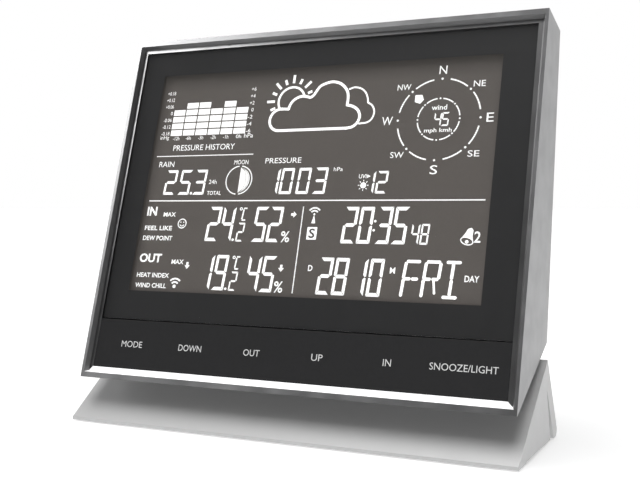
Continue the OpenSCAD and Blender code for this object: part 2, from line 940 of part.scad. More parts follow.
// ---- screws --------------------------------------------------------------

// Screws that hold the rear cover to the chassis
module cover_screws() {
    color("dimgray")
        console()
            mirrored()
                for (z = cover_boss_z)
                    screw(boss_x, z, max(back_y(z) - 14, chassis_back + 0.8), back_y(z) - 5.5,
                          1.2, screw_head_r, 2.2);
}

// Screws that hold the display tray to the chassis
module tray_screws() {
    color("dimgray")
        console()
            mirrored()
                for (z = tray_ear_z)
                    screw(boss_x, z, chassis_back, tray_back, 0.95, 2, 1.3);
}

// Screws that hold the main board and the touch board
module board_screws() {
    color("dimgray")
        console() {
            mirrored()
                for (z = board_boss_z)
                    screw(boss_x, z, chassis_back + 1.5, board_back, 0.95, 2, 1.3);
            for (x = touch_screw_x)
                screw(x, touch_screw_z, chassis_back - 0.5, touch_board_y + board_t, 0.75, 2, 1.3);
        }
}

// ---- stand ---------------------------------------------------------------

// Outline of the rear leg, with its inner face drawn up to the given point
module leg_profile(inner_y, inner_z) {
    polygon([
        [ridge_y, ridge_z],
        [leg_foot_y - round_reach * sin(leg_slope), round_reach * cos(leg_slope)],
        [leg_foot_y - round_reach, 0],
        [leg_foot_y - leg_run, 0],
        [inner_y, inner_z]
    ]);
    translate([leg_foot_y - round_reach, leg_round])
        circle(r = leg_round);
}

// Outline of the stand's closed ends: gable and leg with the tapered slot between them
module end_profile() {
    polygon([
        [0, 0], [toe_len, 0], [toe_len, gable_lift],
        [slot_apex_y + (slot_top - gable_lift) * tan(gable_slope), gable_lift],
        [slot_apex_y, slot_top], [ridge_y, ridge_z], [0, toe_edge]
    ]);
    leg_profile(slot_apex_y, slot_top);
}

// Outline between the ends: sloping plate and leg, hollow from below
module span_profile() {
    polygon([
        [0, 0], [toe_len, 0], [toe_len, toe_edge + toe_len * tan(plate_slope) - skin_rise],
        [hollow_y, hollow_z], [ridge_y, ridge_z], [0, toe_edge]
    ]);
    leg_profile(hollow_y, hollow_z);
}

// One pocket in the leg's inner face, w wide and centred at x
module leg_pocket(x, w) {
    top = hollow_z - 3;
    low = 3.5;
    t = tan(leg_slope);
    base = leg_foot_y - skin / cos(leg_slope);
    translate([x, 0, 0])
        prism_x(w, [
            [base - low * t, low], [base - top * t, top],
            [base - top * t - leg_run, top], [base - low * t - leg_run, low]
        ]);
}

// Moulded shell of the stand with stiffening ribs and recesses for the feet
module stand_shell() {
    bay = (stand_w - 2 * skin - (leg_bays - 1) * rib_t) / leg_bays;
    difference() {
        union() {
            rotate([90, 0, 90])
                translate([0, 0, -stand_w / 2])
                    linear_extrude(stand_w)
                        span_profile();
            mirrored()
                rotate([90, 0, 90])
                    translate([0, 0, stand_w / 2 - skin])
                        linear_extrude(skin)
                            end_profile();
            for (i = [1 : leg_bays - 1])
                translate([-stand_w / 2 + skin + i * bay + (i - 0.5) * rib_t, 0, 0])
                    prism_x(rib_t, [
                        [hollow_y - gusset, hollow_z - gusset * tan(plate_slope)],
                        [hollow_y, hollow_z + 1],
                        [hollow_y + gusset * tan(leg_slope) + 1, hollow_z - gusset]
                    ]);
        }
        for (i = [0 : leg_bays - 1])
            leg_pocket(-stand_w / 2 + skin + (i + 0.5) * bay + i * rib_t, bay);
        foot_pads(front_foot, foot_depth + cut);
        foot_pads(rear_foot, foot_depth + cut);
    }
}

// Saddle that fills the wedge under the console, and the tongue that plugs into it
module stand_tongue() {
    front = tongue_at - 5.5;
    back = tongue_at + 7;
    seat = -0.05;
    module wedge(w)
        prism_x(w, [[front, seat], [front, -gap_at(front) - 1], [back, -gap_at(back) - 1], [back, seat]]);
    translate([tongue_x, 0, 0]) {
        wedge(tongue_w + 10);
        block([-tongue_w / 2, tongue_at - tongue_t / 2, seat - 1],
              [tongue_w / 2, tongue_at + tongue_t / 2, tongue_len]);
        // Snap bead across the tongue
        rod_x(0.6, -tongue_w / 2 + 3, tongue_w / 2 - 3, tongue_at + tongue_t / 2 - 0.4, wall + 1.4);
    }
}

// Tent-shaped stand with the saddles and tongues that plug into the console
module stand() {
    color([0.83, 0.83, 0.83]) {
        on_stand()
            stand_shell();
        on_underside()
            mirrored()
                stand_tongue();
    }
}

// Pair of rubber pads, given as [half width, front, back], from the stand's underside up
module foot_pads(pad, top, low = -1) {
    for (x = [-foot_x, foot_x])
        block([x - pad[0], pad[1], low], [x + pad[0], pad[2], top]);
}

// Rubber feet under the front edge
module front_feet() {
    color([0.1, 0.1, 0.1])
        on_stand()
            foot_pads(front_foot, foot_depth, -foot_gap);
}

// Rubber feet under the rear leg
module rear_feet() {
    color([0.1, 0.1, 0.1])
        on_stand()
            foot_pads(rear_foot, foot_depth, -foot_gap);
}

// ---- what is drawn -------------------------------------------------------

outer_frame();
display_window();
touch_panel();
window_tape();
front_chassis();
lcd_front_polarizer();
lcd_front_glass();
lcd_rear_glass();
lcd_rear_polarizer();
diffuser_film();
light_guide();
reflector_film();
backlight_board();
backlight_leds();
lcd_tray();
elastomer_strip();
main_board();
main_board_chips();
main_board_capacitors();
radio_module();
radio_antenna();
ferrite_rod();
ferrite_coil();
pressure_sensor();
humidity_sensor();
buzzer();
touch_board();
touch_springs();
ribbon_cable();
reset_switch();
reset_button();
rear_cover();
battery_door();
battery_cells();
contact_springs();
contact_plates();
dc_socket();
dc_socket_nut();
cover_screws();
tray_screws();
board_screws();
stand();
front_feet();
rear_feet();
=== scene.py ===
import json
import math

import bmesh
import bpy
from mathutils import Matrix, Vector


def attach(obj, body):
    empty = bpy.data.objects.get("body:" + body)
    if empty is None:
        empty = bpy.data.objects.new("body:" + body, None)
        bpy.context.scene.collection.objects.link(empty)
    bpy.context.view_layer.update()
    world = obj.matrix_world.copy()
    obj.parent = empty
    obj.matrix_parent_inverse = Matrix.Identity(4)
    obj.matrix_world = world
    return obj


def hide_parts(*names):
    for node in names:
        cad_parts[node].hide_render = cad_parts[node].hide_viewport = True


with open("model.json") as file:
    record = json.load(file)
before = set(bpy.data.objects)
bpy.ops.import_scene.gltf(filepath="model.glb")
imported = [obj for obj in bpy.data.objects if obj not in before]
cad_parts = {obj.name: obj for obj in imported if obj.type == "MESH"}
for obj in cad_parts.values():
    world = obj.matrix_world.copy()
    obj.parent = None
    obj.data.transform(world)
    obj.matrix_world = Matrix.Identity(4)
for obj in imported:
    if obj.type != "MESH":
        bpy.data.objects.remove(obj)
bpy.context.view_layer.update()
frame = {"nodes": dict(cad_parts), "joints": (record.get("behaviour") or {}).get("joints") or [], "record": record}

MM = 0.001


# ---- frames of the leaning console and of its sloping back ----------------

class Axes:
    """A frame in millimetres: x along the given right, y along the given depth, z square to both."""

    def __init__(self, depth, right=(1, 0, 0)):
        self.x = Vector(right)
        self.y = Vector(depth).normalized()
        self.z = self.x.cross(self.y)
        self.origin = Vector((0, 0, 0))

    def to_local(self, p):
        d = Vector(p) - self.origin
        return Vector((d.dot(self.x), d.dot(self.y), d.dot(self.z))) / MM

    def to_world(self, x, y, z):
        return self.origin + MM * (x * self.x + y * self.y + z * self.z)

    def box(self, node, keep=lambda p: True):
        """Lowest and highest corner of a CAD node's points, or of those that keep accepts."""
        spots = [self.to_local(v.co) for v in frame["nodes"][node].data.vertices]
        spots = [p for p in spots if keep(p)]
        low = Vector([min(p[i] for p in spots) for i in range(3)])
        high = Vector([max(p[i] for p in spots) for i in range(3)])
        return low, high


joint = {j["name"]: j for j in frame["joints"]}
mount = {m["name"]: m for m in frame["record"]["mounts"]}

# The console's origin is the middle of its face, on the rim
console = Axes([-v for v in joint["reset_press"]["axis"]])
frame_low, frame_high = console.box("outer_frame")
console.origin = console.to_world(0, frame_low.y, (frame_low.z + frame_high.z) / 2)

back = Axes(mount["wall_keyhole_left"]["axis"], right=(-1, 0, 0))
cover_low, cover_high = back.box("rear_cover")
back.origin = back.to_world(0, cover_high.y, cover_low.z)


# ---- parts of node materials -----------------------------------------------

PATCH_SCALE = 120


def new_material(name):
    """An empty node material, its nodes and links, and the socket for its surface."""
    m = bpy.data.materials.new(name)
    m.use_nodes = True
    nodes, links = m.node_tree.nodes, m.node_tree.links
    nodes.clear()
    return m, nodes, links, nodes.new("ShaderNodeOutputMaterial").inputs["Surface"]


def principled(name):
    """A material with one principled shader."""
    m, nodes, links, surface = new_material(name)
    shade = nodes.new("ShaderNodeBsdfPrincipled")
    links.new(shade.outputs["BSDF"], surface)
    return m, nodes, links, shade


def noise(nodes, links, coords, scale, detail=3.0):
    n = nodes.new("ShaderNodeTexNoise")
    n.inputs["Scale"].default_value = scale
    n.inputs["Detail"].default_value = detail
    n.inputs["Roughness"].default_value = 0.55
    links.new(coords, n.inputs["Vector"])
    return n.outputs["Fac"]


def remap(nodes, links, value, low, high, from_low=0.3, from_high=0.7):
    n = nodes.new("ShaderNodeMapRange")
    n.inputs["From Min"].default_value = from_low
    n.inputs["From Max"].default_value = from_high
    n.inputs["To Min"].default_value = low
    n.inputs["To Max"].default_value = high
    links.new(value, n.inputs["Value"])
    return n.outputs["Result"]


def feed(links, socket, value):
    """Link a socket, or set it where the value is a plain one."""
    if isinstance(value, bpy.types.NodeSocket):
        links.new(value, socket)
    else:
        socket.default_value = value


def combine(nodes, links, operation, a, b):
    n = nodes.new("ShaderNodeMath")
    n.operation = operation
    feed(links, n.inputs[0], a)
    feed(links, n.inputs[1], b)
    return n.outputs["Value"]


def mix_colour(nodes, links, fac, a, b):
    n = nodes.new("ShaderNodeMix")
    n.data_type = "RGBA"
    links.new(fac, n.inputs["Factor"])
    for socket, value in ((n.inputs["A"], a), (n.inputs["B"], b)):
        feed(links, socket, value if isinstance(value, bpy.types.NodeSocket) else (*value, 1))
    return n.outputs["Result"]


def split_axes(nodes, links, vector):
    n = nodes.new("ShaderNodeSeparateXYZ")
    links.new(vector, n.inputs["Vector"])
    return n.outputs


def raise_surface(nodes, links, shade, height, strength, distance):
    n = nodes.new("ShaderNodeBump")
    n.inputs["Strength"].default_value = strength
    n.inputs["Distance"].default_value = distance
    links.new(height, n.inputs["Height"])
    links.new(n.outputs["Normal"], shade.inputs["Normal"])


def transparent(nodes, clear):
    n = nodes.new("ShaderNodeBsdfTransparent")
    n.inputs["Color"].default_value = (clear, clear, clear, 1)
    return n.outputs["BSDF"]


# ---- kinds of material -----------------------------------------------------

def finish_material(name, colour, rough, spread=0.06, grain=3000, bump=0.02, bump_size=0.02 * MM,
                    metal=0.0, coat=0.0, stretch=(1, 1, 1), specular=0.5, glow=0.0):
    """Paint, plastic or metal: fine grain, slow patches of tone and of roughness, bump from the grain."""
    m, nodes, links, shade = principled(name)
    coords = nodes.new("ShaderNodeTexCoord").outputs["Object"]
    if stretch != (1, 1, 1):
        mapping = nodes.new("ShaderNodeMapping")
        mapping.inputs["Scale"].default_value = stretch
        links.new(coords, mapping.inputs["Vector"])
        coords = mapping.outputs["Vector"]
    fine = noise(nodes, links, coords, grain)
    slow = noise(nodes, links, coords, PATCH_SCALE, detail=2.0)
    dark = [c * (1 - spread) for c in colour]
    light = [min(1, c * (1 + spread)) for c in colour]
    tone = mix_colour(nodes, links, fine, dark, light)
    shaded = [c * (1 - spread / 2) for c in colour]
    tone = mix_colour(nodes, links, remap(nodes, links, slow, 0.0, 0.35), tone, shaded)
    links.new(tone, shade.inputs["Base Color"])
    links.new(remap(nodes, links, slow, max(0.02, rough - 0.04), min(1, rough + 0.04)),
              shade.inputs["Roughness"])
    if bump:
        raise_surface(nodes, links, shade, fine, bump, bump_size)
    shade.inputs["Metallic"].default_value = metal
    shade.inputs["Specular IOR Level"].default_value = specular
    shade.inputs["Coat Weight"].default_value = coat
    shade.inputs["Coat Roughness"].default_value = 0.05
    if glow:
        links.new(tone, shade.inputs["Emission Color"])
        shade.inputs["Emission Strength"].default_value = glow
    return m


def stripe_material(name, first, second, pitch, rough, metal=0.0):
    """Two tones in fine bands across x, as on ribbon cable, zebra rubber or wound wire."""
    m, nodes, links, shade = principled(name)
    coords = nodes.new("ShaderNodeTexCoord").outputs["Object"]
    wave = nodes.new("ShaderNodeTexWave")
    wave.bands_direction = "X"
    wave.inputs["Scale"].default_value = math.pi / 10 / (pitch * MM)
    wave.inputs["Distortion"].default_value = 0.3
    links.new(coords, wave.inputs["Vector"])
    links.new(mix_colour(nodes, links, wave.outputs["Fac"], first, second), shade.inputs["Base Color"])
    links.new(remap(nodes, links, noise(nodes, links, coords, 900), rough - 0.05, rough + 0.05),
              shade.inputs["Roughness"])
    raise_surface(nodes, links, shade, wave.outputs["Fac"], 0.4, 0.1 * MM)
    shade.inputs["Metallic"].default_value = metal
    return m


def clear_material(name, clear):
    """See-through without a gloss of its own."""
    m, nodes, links, surface = new_material(name)
    links.new(transparent(nodes, clear), surface)
    return m


def pane_material(name, clear, mirror):
    """See-through acrylic: light passes straight, and gloss grows towards a grazing view."""
    m, nodes, links, surface = new_material(name)
    gloss = nodes.new("ShaderNodeBsdfGlossy")
    gloss.inputs["Color"].default_value = (1, 1, 1, 1)
    coords = nodes.new("ShaderNodeTexCoord").outputs["Object"]
    smear = noise(nodes, links, coords, 60, detail=4.0)
    links.new(remap(nodes, links, smear, 0.03, 0.09), gloss.inputs["Roughness"])
    facing = nodes.new("ShaderNodeLayerWeight")
    facing.inputs["Blend"].default_value = 0.5
    grazing = combine(nodes, links, "POWER", facing.outputs["Facing"], 4.0)
    mix = nodes.new("ShaderNodeMixShader")
    links.new(remap(nodes, links, grazing, mirror, 1.0, 0.0, 1.0), mix.inputs["Fac"])
    links.new(transparent(nodes, clear), mix.inputs[1])
    links.new(gloss.outputs["BSDF"], mix.inputs[2])
    links.new(mix.outputs["Shader"], surface)
    return m


def backdrop_material(name, colour, rim, width, height):
    """The unlit display: even in the middle, darkening to the rim colour near its left and top edges: painted
    shade for the printed border's shadow and the backlight's falloff there.
    """
    # Widths in millimetres of the painted shade at the left and at the top
    left_shade, top_shade = (0.5, 8.0), (1.5, 9.5)
    m, nodes, links, shade = principled(name)
    coords = nodes.new("ShaderNodeTexCoord")
    across = split_axes(nodes, links, coords.outputs["Generated"])
    from_left = remap(nodes, links, across["X"], 0.35, 1.0, left_shade[0] / width, left_shade[1] / width)
    from_top = remap(nodes, links, across["Z"], 1.0, 0.15, 1 - top_shade[1] / height,
                     1 - top_shade[0] / height)
    grain = noise(nodes, links, coords.outputs["Object"], 900, detail=2.0)
    grained = mix_colour(nodes, links, grain, [c * 0.96 for c in colour], [c * 1.04 for c in colour])
    unshaded = combine(nodes, links, "MULTIPLY", from_left, from_top)
    tone = mix_colour(nodes, links, unshaded, rim, grained)
    links.new(tone, shade.inputs["Base Color"])
    links.new(tone, shade.inputs["Emission Color"])
    shade.inputs["Emission Strength"].default_value = 0.35
    shade.inputs["Roughness"].default_value = 0.6
    shade.inputs["Specular IOR Level"].default_value = 0.2
    return m


# ---- the materials ---------------------------------------------------------

SILVER = finish_material("silver_paint", (0.28, 0.28, 0.284), 0.34, spread=0.05, grain=9000, bump=0.0,
                         metal=0.95)
# Painted highlight: a near-white, glowing finish on the frame's lowest slope and ledge, standing in for the bright
# reflection there
PAINTED_HIGHLIGHT = finish_material("painted_highlight_ledge", (0.9, 0.9, 0.9), 0.35, spread=0.02, grain=9000, bump=0.0, glow=0.5)
# Painted shade: the frame's silver made darker on the slopes and ledges round the window
SHADED_SILVER = finish_material("silver_bevel_painted_shade", (0.2, 0.2, 0.202), 0.32, spread=0.05, grain=9000, bump=0.0,
                        metal=0.95)
STAND = finish_material("stand_paint", (0.62, 0.62, 0.62), 0.45, spread=0.03, grain=7000, bump=0.05,
                        metal=0.15)
COVER = finish_material("cover_plastic", (0.05, 0.05, 0.054), 0.55, spread=0.25, grain=2600, bump=0.9,
                        bump_size=0.06 * MM)
TOUCH = finish_material("touch_gloss", (0.035, 0.035, 0.036), 0.09, spread=0.1, grain=800, bump=0.0,
                        specular=0.2)
PRINT = finish_material("window_print", (0.022, 0.022, 0.023), 0.5, spread=0.02, grain=800, bump=0.0)
LEGEND = finish_material("white_print", (0.82, 0.82, 0.82), 0.5, spread=0.03, grain=2500, bump=0.05)
SEGMENT = finish_material("lit_segments", (0.95, 0.95, 0.94), 0.5, spread=0.02, grain=2500, bump=0.0,
                          glow=0.7)
DARK_SEGMENT = finish_material("dark_segment", (0.1, 0.09, 0.085), 0.6, spread=0.04, grain=900, bump=0.0)
CHASSIS = finish_material("chassis_plastic", (0.03, 0.03, 0.033), 0.5, spread=0.15, grain=1800, bump=0.3)
TAPE = finish_material("foam_tape", (0.02, 0.02, 0.02), 0.9, spread=0.5, grain=3500, bump=0.8)
POLARISER = finish_material("polariser", (0.1, 0.095, 0.09), 0.2, spread=0.05, grain=700)
GLASS = finish_material("lcd_glass", (0.55, 0.62, 0.62), 0.06, spread=0.03, grain=300, coat=0.5)
FILM = finish_material("white_film", (0.88, 0.88, 0.88), 0.65, spread=0.03, grain=5000, bump=0.2)
GUIDE = finish_material("light_guide", (0.8, 0.86, 0.87), 0.1, spread=0.03, grain=1200, coat=0.6)
WHITE = finish_material("white_plastic", (0.82, 0.82, 0.79), 0.45, spread=0.05, grain=2200, bump=0.3)
LED_STRIP = finish_material("led_board", (0.75, 0.76, 0.7), 0.35, spread=0.06, grain=2200)
LED = finish_material("led_resin", (0.9, 0.78, 0.35), 0.25, spread=0.08, grain=3000, coat=0.3)
BOARD = finish_material("board_green", (0.012, 0.075, 0.032), 0.32, spread=0.35, grain=700, bump=0.5,
                        coat=0.4)
BLUE_BOARD = finish_material("board_blue", (0.015, 0.05, 0.22), 0.28, spread=0.35, grain=900, bump=0.5,
                             coat=0.4)
RESIN = finish_material("black_resin", (0.02, 0.02, 0.021), 0.38, spread=0.3, grain=2500, bump=0.3)
SLEEVE = finish_material("capacitor_sleeve", (0.02, 0.035, 0.16), 0.25, spread=0.12, grain=1500, coat=0.5)
COPPER = stripe_material("wound_copper", (0.55, 0.22, 0.07), (0.85, 0.42, 0.18), 0.45, 0.3, metal=0.9)
AERIAL = finish_material("enamelled_wire", (0.75, 0.36, 0.14), 0.25, spread=0.12, grain=2500, metal=0.9)
FERRITE = finish_material("ferrite", (0.045, 0.045, 0.05), 0.6, spread=0.4, grain=3800, bump=0.7)
TIN = finish_material("tin_plate", (0.62, 0.61, 0.58), 0.3, spread=0.08, grain=1500, metal=0.95,
                      stretch=(1, 9, 1), bump=0.2)
SPRING = finish_material("spring_wire", (0.72, 0.66, 0.5), 0.25, spread=0.1, grain=2600, metal=0.95)
RIBBON = stripe_material("ribbon_cable", (0.42, 0.42, 0.44), (0.62, 0.62, 0.63), 1.27, 0.5)
ZEBRA = stripe_material("zebra_rubber", (0.5, 0.42, 0.38), (0.06, 0.03, 0.03), 0.4, 0.6)
SCREW = finish_material("screw_steel", (0.36, 0.36, 0.37), 0.32, spread=0.12, grain=1800, metal=0.95,
                        bump=0.2)
RUBBER = finish_material("foot_rubber", (0.025, 0.025, 0.025), 0.85, spread=0.3, grain=3000, bump=0.6)
JACKET = finish_material("cell_jacket", (0.03, 0.045, 0.075), 0.25, spread=0.12, grain=1500, coat=0.5)
BAND = finish_material("cell_band", (0.5, 0.26, 0.1), 0.3, spread=0.08, grain=1500, metal=0.7, coat=0.4)
CAN = finish_material("cell_can", (0.66, 0.66, 0.65), 0.28, spread=0.06, grain=1800, metal=0.95)
PANE = pane_material("window_front", 0.96, 0.03)
CLEAR = clear_material("window_rear", 0.97)


# ---- pieces ----------------------------------------------------------------

def add_piece(name, mesh, materials, body):
    for m in materials:
        mesh.materials.append(m)
    obj = bpy.data.objects.new(name, mesh)
    bpy.context.scene.collection.objects.link(obj)
    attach(obj, body)
    return obj


def finished_mesh(name, bm):
    """The worked shape as a mesh, with its faces turned outwards."""
    bmesh.ops.recalc_face_normals(bm, faces=bm.faces)
    mesh = bpy.data.meshes.new(name)
    bm.to_mesh(mesh)
    bm.free()
    return mesh


def shade_by_angle(mesh, degrees=28):
    mesh.polygons.foreach_set("use_smooth", [True] * len(mesh.polygons))
    mesh.set_sharp_from_angle(angle=math.radians(degrees))


def rounded_copy(name, node, width, steps, material, body, shortest=0.0, inner=None):
    """The CAD node's own shape with its sharp edges rounded.

    inner holds more materials and a function that picks a face's material from its middle."""
    flat, sharp = math.radians(1), math.radians(25)
    bm = bmesh.new()
    bm.from_mesh(frame["nodes"][node].data)
    bmesh.ops.remove_doubles(bm, verts=bm.verts, dist=0.002 * MM)
    bmesh.ops.dissolve_limit(bm, angle_limit=flat, verts=bm.verts, edges=bm.edges)
    edges = [e for e in bm.edges
             if len(e.link_faces) == 2 and e.calc_face_angle(0) > sharp and e.calc_length() > shortest * MM]
    bmesh.ops.bevel(bm, geom=edges, offset=width * MM, offset_type="OFFSET", segments=steps,
                    profile=0.5, affect="EDGES", clamp_overlap=True)
    mesh = finished_mesh(name, bm)
    shade_by_angle(mesh)
    materials = [material]
    if inner:
        more, choose = inner
        materials += more
        for face in mesh.polygons:
            face.material_index = choose(console.to_local(face.center))
    obj = add_piece(name, mesh, materials, body)
    even = obj.modifiers.new("even_normals", "WEIGHTED_NORMAL")
    even.keep_sharp = True
    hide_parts(node)
    return obj


def paint_node(node, material):
    """A CAD node keeps its own mesh and gets its material."""
    obj = frame["nodes"][node]
    obj.data.materials.clear()
    obj.data.materials.append(material)


def around(x, y, wide, tall, degrees):
    """Points of an ellipse at the given angles."""
    turns = [math.radians(a) for a in degrees]
    return [(x + wide * math.cos(a), y + tall * math.sin(a)) for a in turns]


class Ink:
    """Flat shapes in millimetres on one plane, each given a little thickness."""

    def __init__(self):
        self.points = []
        self.faces = []

    def add(self, outline):
        area = sum(a[0] * b[1] - b[0] * a[1] for a, b in zip(outline, outline[1:] + outline[:1]))
        if area < 0:
            outline = outline[::-1]
        start = len(self.points)
        self.points += [tuple(p) for p in outline]
        self.faces.append(list(range(start, start + len(outline))))

    def box(self, left, right, low, high):
        self.add([(left, low), (right, low), (right, high), (left, high)])

    def disc(self, x, y, r, sides):
        self.add(around(x, y, r, r, [360 * i / sides for i in range(sides)]))

    def line(self, path, width, closed=False, caps=False):
        """A stroke of even width along a path, mitred at its corners."""
        path = [Vector(p) for p in path]
        count = len(path)
        left, right = [], []
        for i, p in enumerate(path):
            before = path[i - 1] if i or closed else None
            after = path[(i + 1) % count] if i < count - 1 or closed else None
            d0 = (p - before).normalized() if before else (after - p).normalized()
            d1 = (after - p).normalized() if after else d0
            n0, n1 = Vector((-d0.y, d0.x)), Vector((-d1.y, d1.x))
            side = (n0 + n1).normalized()
            side *= width / 2 / max(0.4, side.dot(n0))
            left.append(p + side)
            right.append(p - side)
        for i in range(count if closed else count - 1):
            j = (i + 1) % count
            self.add([left[i], left[j], right[j], right[i]])
        if caps:
            for p in (path[0], path[-1]):
                self.disc(p.x, p.y, width / 2, 12)

    def arc(self, x, y, r, width, start, end):
        steps = max(3, int(abs(end - start) / 6))
        self.line(around(x, y, r, r, [start + (end - start) * i / steps for i in range(steps + 1)]), width)

    def curve(self, path, width):
        """A round-ended stroke that passes smoothly through the points."""
        steps = 6
        pts = [Vector(p) for p in path]
        ends = [2 * pts[0] - pts[1]] + pts + [2 * pts[-1] - pts[-2]]
        smooth = []
        for a, b, c, d in zip(ends, ends[1:], ends[2:], ends[3:]):
            for i in range(steps):
                t = i / steps
                smooth.append(0.5 * (2 * b + (c - a) * t + (2 * a - 5 * b + 4 * c - d) * t * t
                                     + (3 * b - a - 3 * c + d) * t ** 3))
        self.line(smooth + [pts[-1]], width, caps=True)

    def text(self, words, left, right, low, high, bold=0.0):
        """Plain lettering fitted to a box."""
        data = bpy.data.curves.new("lettering", "FONT")
        data.body = words
        data.size = 1.0
        data.offset = bold
        data.resolution_u = 3
        data.fill_mode = "FRONT"
        obj = bpy.data.objects.new("lettering", data)
        bpy.context.scene.collection.objects.link(obj)
        mesh = bpy.data.meshes.new_from_object(obj.evaluated_get(bpy.context.evaluated_depsgraph_get()))
        bpy.data.objects.remove(obj)
        xs = [v.co.x for v in mesh.vertices]
        ys = [v.co.y for v in mesh.vertices]
        wide = (right - left) / (max(xs) - min(xs))
        tall = (high - low) / (max(ys) - min(ys))
        start = len(self.points)
        self.points += [(left + (x - min(xs)) * wide, low + (y - min(ys)) * tall) for x, y in zip(xs, ys)]
        self.faces += [[start + i for i in p.vertices] for p in mesh.polygons]
        bpy.data.meshes.remove(mesh)

    def label(self, words, x, y, wide, tall):
        """Plain lettering fitted to a box about a middle point."""
        self.text(words, x - wide / 2, x + wide / 2, y - tall / 2, y + tall / 2)

    def piece(self, name, axes, level, thickness, material, body, slot):
        """Closed flat solids from level to level + thickness along the frame's y axis."""
        bm = bmesh.new()
        verts = [bm.verts.new(axes.to_world(x, level, z)) for x, z in self.points]
        faces = []
        for f in self.faces:
            corners = [verts[i] for i in f]
            if len(set(corners)) > 2 and bm.faces.get(corners) is None:
                faces.append(bm.faces.new(corners))
        used = bmesh.ops.extrude_face_region(bm, geom=faces)["geom"]
        shift = axes.y * thickness * MM
        bmesh.ops.translate(bm, vec=shift, verts=[g for g in used if isinstance(g, bmesh.types.BMVert)])
        loose = [v for v in bm.verts if not v.link_faces]
        bmesh.ops.delete(bm, geom=loose, context="VERTS")
        return add_piece(name, finished_mesh(name, bm), [material], body)


# ---- seven-segment figures -------------------------------------------------

SLANT = 0.058    # lean to the right, per unit of height
GAP = 0.13       # clear space at the end of a bar
UPRIGHT = 0.86   # width of an upright bar against a level one
LIT = {"0": "abcdef", "1": "bc", "2": "abged", "3": "abgcd", "4": "fgbc", "5": "afgcd", "8": "abcdefg",
       "9": "abcdfg"}


def figure(ink, digit, left, low, width, height, t):
    """One digit of seven mitred bars from its lower left corner; t is the width of a level bar."""
    w, h, m, u = width, height, height / 2, UPRIGHT * t
    tip = 0.45 * u
    bars = {
        "a": [(GAP, h), (w - GAP, h), (w - u - GAP, h - t), (u + GAP, h - t)],
        "d": [(GAP, 0), (w - GAP, 0), (w - u - GAP, t), (u + GAP, t)],
        "g": [(tip + GAP, m), (u + GAP, m + t / 2), (w - u - GAP, m + t / 2),
              (w - tip - GAP, m), (w - u - GAP, m - t / 2), (u + GAP, m - t / 2)],
        "b": [(w, h - GAP), (w - u, h - t - GAP), (w - u, m + t / 2 + GAP), (w - tip, m + GAP),
              (w, m + t / 4)],
        "c": [(w, GAP), (w - u, t + GAP), (w - u, m - t / 2 - GAP), (w - tip, m - GAP),
              (w, m - t / 4)],
    }
    bars["f"] = [(w - x, y) for x, y in bars["b"]]
    bars["e"] = [(w - x, y) for x, y in bars["c"]]
    for bar in LIT[digit]:
        ink.add([(left + x + y * SLANT, low + y) for x, y in bars[bar]])


def figures(ink, places, low, height, width, t):
    for digit, left in places:
        figure(ink, digit, left, low, width, height, t)


# ---- the lit picture of the display ---------------------------------------
# Places are in millimetres from the middle of the console's face: x to the right, y up

UPPER_ROW, LOWER_ROW = -14.75, -34.75
TALL = 14.35
MOON = Vector((-31.95, 10.9))
HALF_MOON = MOON.x + 0.25


def history(ink):
    """Pressure history: six columns of cells with a scale on both sides."""
    column_pitch, row_pitch, cell_wide, cell_tall = 6.15, 3.03, 5.6, 2.5
    for column, cells in enumerate((4, 5, 5, 4, 5, 4)):
        left = -68.85 + column_pitch * column
        for row in range(cells):
            low = 31.0 + row_pitch * row
            ink.box(left, left + cell_wide, low, low + cell_tall)
    rows = [50.4 - 3.05 * i for i in range(7)]
    for words, b in zip(("+0.18", "+0.12", "+0.06", "0", "-0.06", "-0.12", "-0.18"), rows):
        half = 0.45 if words == "0" else 2.0
        ink.text(words, -69.6 - 2 * half, -69.6, b - 0.8, b + 0.8)
    for words, b in zip(("+6", "+4", "+2", "0", "-2", "-4", "-6"), rows):
        half = 0.5 if words == "0" else 1.1
        ink.text(words, -30 - 2 * half, -30, b - 0.8, b + 0.8)
    ink.text("inHg", -73.8, -69.4, 29.0, 31.1)
    ink.text("hPa", -32.6, -28.4, 29.1, 31.0)
    for i, words in enumerate(("-12h", "-6h", "-3h", "-2h", "-1h", "0h")):
        a = -65.7 + 6.1 * i
        half = 1.6 if len(words) == 4 else 1.25
        ink.text(words, a - half, a + half, 29.0, 30.6)
    ink.text("PRESSURE HISTORY", -66.3, -36.3, 24.25, 26.75)


def forecast(ink):
    """Sun behind two clouds, drawn in outline."""
    sun = Vector((-12.9, 44.3))
    thick, thin = 1.15, 0.7
    ink.arc(*sun, 5.85, 0.95, 17, 214)
    for turn, reach in ((90, 11.2), (45, 11.2), (135, 11.2), (180, 11.2), (67.5, 9.9), (112.5, 9.9),
                        (157.5, 9.9), (202.5, 9.8), (22.5, 9.6)):
        ray = Vector((math.cos(math.radians(turn)), math.sin(math.radians(turn))))
        ink.line([sun + ray * 7.6, sun + ray * reach], 1.1)
    ink.line([(-17, 31.6), (13, 31.6)], thick)
    ink.arc(-17, 36.25, 4.65, thick, 270, 85)
    ink.line([(-16.8, 40.9), (-13.75, 40.75)], thick, caps=True)
    ink.curve([(-13.75, 40.75), (-12.9, 43.2), (-11.0, 45.1), (-8.4, 46.0), (-6, 45.7), (-4.4, 45.35),
               (-3, 46.4), (-1.6, 48.7), (0, 50.3), (4.3, 51.5), (8.4, 50.4), (11.2, 47.6), (12.1, 44.8),
               (12.15, 41.3)], thick)
    ink.curve([(12.15, 41.3), (14.6, 40.6), (16.9, 39.0), (18.05, 36.4), (17.3, 33.7), (15.4, 32.1),
               (13, 31.6)], thick)
    ink.curve([(12.4, 48), (14.6, 48.6), (17.4, 47.9), (19.4, 46.2), (20.5, 44), (20.95, 41.9)], thin)
    ink.curve([(20.95, 41.9), (22.9, 40.5), (24.0, 38), (23.4, 35.3), (21.5, 33.7), (18.2, 33.3)], thin)


